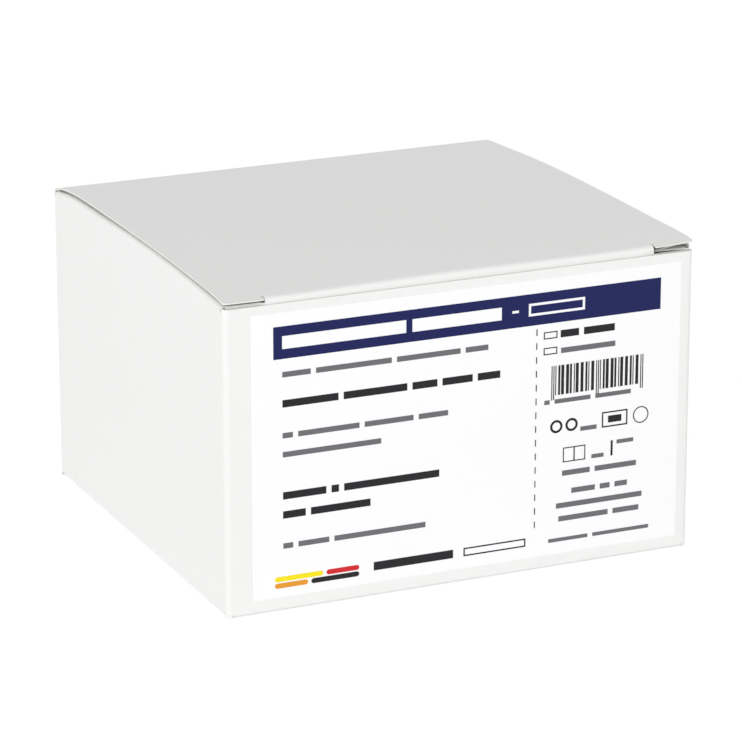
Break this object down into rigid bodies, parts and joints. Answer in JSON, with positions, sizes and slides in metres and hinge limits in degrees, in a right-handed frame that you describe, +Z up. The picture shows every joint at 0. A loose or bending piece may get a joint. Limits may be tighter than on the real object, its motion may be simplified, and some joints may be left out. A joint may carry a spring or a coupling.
{
  "type": "folding carton",
  "caption": "Closed white folding carton with a bowed tuck-in lid hinged at the back and a large printed adhesive label on its front.",
  "frame": {"origin": "under the middle of the carton's base, on the surface that it stands on", "axes": "+X along the width to the right as the label is read, +Y from the label to the lid's hinge, +Z up"},
  "size_m": [0.155, 0.1462, 0.1],
  "materials": {
    "board": "smooth white coated board, satin",
    "label_paper": "bright white label paper, semi-gloss",
    "ink_navy": "printed ink on label paper",
    "ink_dark": "printed ink on label paper",
    "ink_grey": "printed ink on label paper",
    "ink_yellow": "printed ink on label paper",
    "ink_orange": "printed ink on label paper",
    "ink_red": "printed ink on label paper"
  },
  "bodies": {
    "carton": {"carton": "board", "label": "label_paper", "print_navy": "ink_navy", "print_dark": "ink_dark", "print_grey": "ink_grey", "print_yellow": "ink_yellow", "print_orange": "ink_orange", "print_red": "ink_red"},
    "lid": {"lid": "board"}
  },
  "joints": [
    {"name": "lid_hinge", "type": "hinge", "parent": "carton", "child": "lid", "pos_m": [0, 0.073, 0.097], "axis": [-1, 0, 0], "range_deg": [0, 180]}
  ]
}
